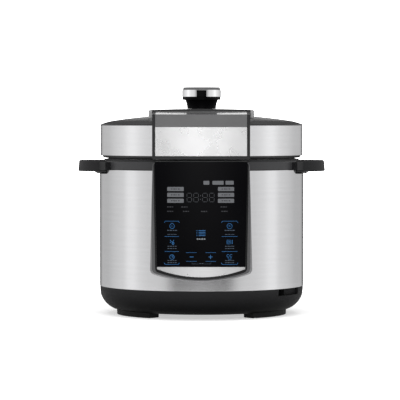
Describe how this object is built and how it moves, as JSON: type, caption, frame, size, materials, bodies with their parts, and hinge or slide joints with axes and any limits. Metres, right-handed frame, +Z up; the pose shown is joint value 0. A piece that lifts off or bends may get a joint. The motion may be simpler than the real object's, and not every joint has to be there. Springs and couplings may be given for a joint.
{
  "type": "electric pressure cooker",
  "caption": "Countertop electric pressure cooker: steel-wrapped round body, black base, side handles, front touch panel, hinged domed lid with a rotary lock knob.",
  "frame": {"origin": "on the pot axis, at the counter the feet stand on", "axes": "+Z up, front with the control panel towards -Y, +X to the viewer's right"},
  "size_m": [0.342, 0.3122, 0.3133],
  "materials": {
    "brushed_steel": "brushed round the body, satin",
    "fascia_metal": "fine satin",
    "stamped_steel": "plain mill finish",
    "pot_steel": "polished with a fine turned grain",
    "pressed_aluminium": "pressed sheet, plain",
    "cast_aluminium": "as cast, machined face",
    "chrome": "bright plated",
    "screw_steel": "zinc plated",
    "brass": "turned",
    "base_plastic": "satin moulded",
    "collar_plastic": "satin moulded, dark grey",
    "handle_plastic": "fine grained, black",
    "dome_plastic": "semi-gloss, dark grey",
    "bridge_plastic": "semi-gloss, mid grey",
    "bezel_plastic": "gloss black",
    "frame_plastic": "satin, dark grey",
    "panel_glass": "opaque black printed glass, gloss",
    "knob_cap_plastic": "satin, grey",
    "knob_plastic": "gloss black",
    "valve_plastic": "satin black",
    "float_metal": "coated red",
    "feet_rubber": "matt",
    "silicone": "translucent white silicone",
    "cup_plastic": "clear smoky plastic",
    "board": "fibreglass board with its parts",
    "inner_black": "moulded",
    "fuse_ceramic": "glazed sleeve"
  },
  "bodies": {
    "base": {"base_pan": "base_plastic", "bottom_cover": "collar_plastic", "bottom_cover_screws": "screw_steel", "base_screws": "screw_steel", "foot_front_left": "feet_rubber", "foot_front_right": "feet_rubber", "foot_rear_left": "feet_rubber", "foot_rear_right": "feet_rubber", "outer_wrap": "brushed_steel", "top_collar": "collar_plastic", "left_handle": "handle_plastic", "right_handle": "handle_plastic", "side_screws": "screw_steel", "locking_ring": "stamped_steel", "inner_housing": "pressed_aluminium", "inner_pot": "pot_steel", "heating_plate": "cast_aluminium", "heating_element": "stamped_steel", "sensor_spring": "screw_steel", "pressure_switch": "inner_black", "thermal_fuse": "fuse_ceramic", "control_frame": "frame_plastic", "panel_bezel": "bezel_plastic", "control_glass": "panel_glass", "crescent_trim": "fascia_metal", "display_module": "inner_black", "control_board": "board", "power_board": "board", "power_inlet": "inner_black", "inlet_pins": "chrome", "hinge_bracket": "handle_plastic", "hinge_pin": "screw_steel", "hinge_spring": "screw_steel", "cup_holder": "handle_plastic"},
    "lid": {"lid_cover": "dome_plastic", "lid_band": "brushed_steel", "lid_skirt": "base_plastic", "nose_carrier": "bezel_plastic", "lid_fascia": "fascia_metal", "bridge_nose": "bridge_plastic", "bridge_cover": "dome_plastic", "bridge_trim": "frame_plastic", "lid_frame": "stamped_steel", "hinge_arm": "stamped_steel", "shaft_bush": "brass", "inner_lid": "pot_steel", "sealing_ring": "silicone", "anti_block_shield": "pot_steel", "valve_pipe": "pot_steel"},
    "lock": {"knob_cap": "knob_cap_plastic", "knob_band": "chrome", "knob_stem": "knob_plastic", "lock_shaft": "stamped_steel", "lock_plate": "stamped_steel", "shaft_nut": "brass"},
    "key": {"release_key": "knob_plastic"},
    "valve": {"steam_valve": "valve_plastic"},
    "float": {"float_valve": "float_metal"},
    "sensor": {"temperature_sensor": "cast_aluminium"},
    "cup": {"condensate_cup": "cup_plastic"}
  },
  "joints": [
    {"name": "lid_hinge", "type": "hinge", "parent": "base", "child": "lid", "pos_m": [0, 0.149, 0.216], "axis": [-1, 0, 0], "range_deg": [0, 80], "stiffness_Nm_per_rad": 0.4, "springref_deg": 80.21, "deforming": ["hinge_spring"]},
    {"name": "lock_knob_turn", "type": "hinge", "parent": "lid", "child": "lock", "pos_m": [0, 0, 0.25], "axis": [0, 0, -1], "range_deg": [0, 30]},
    {"name": "release_key_press", "type": "slide", "parent": "lock", "child": "key", "axis": [0, 1, 0], "range_m": [0, 0.0025], "stiffness_N_per_m": 300, "springref_m": -0.002},
    {"name": "steam_valve_turn", "type": "hinge", "parent": "lid", "child": "valve", "pos_m": [0, 0.07, 0.285], "axis": [0, 0, 1], "range_deg": [0, 50]},
    {"name": "float_valve_rise", "type": "slide", "parent": "lid", "child": "float", "axis": [0, 0, 1], "range_m": [0, 0.0038]},
    {"name": "sensor_press", "type": "slide", "parent": "base", "child": "sensor", "axis": [0, 0, 1], "range_m": [-0.0025, 0], "stiffness_N_per_m": 600, "springref_m": 0.002, "deforming": ["sensor_spring"]},
    {"name": "condensate_cup_slide", "type": "slide", "parent": "base", "child": "cup", "axis": [0, 0, -1], "range_m": [0, 0.045]}
  ]
}
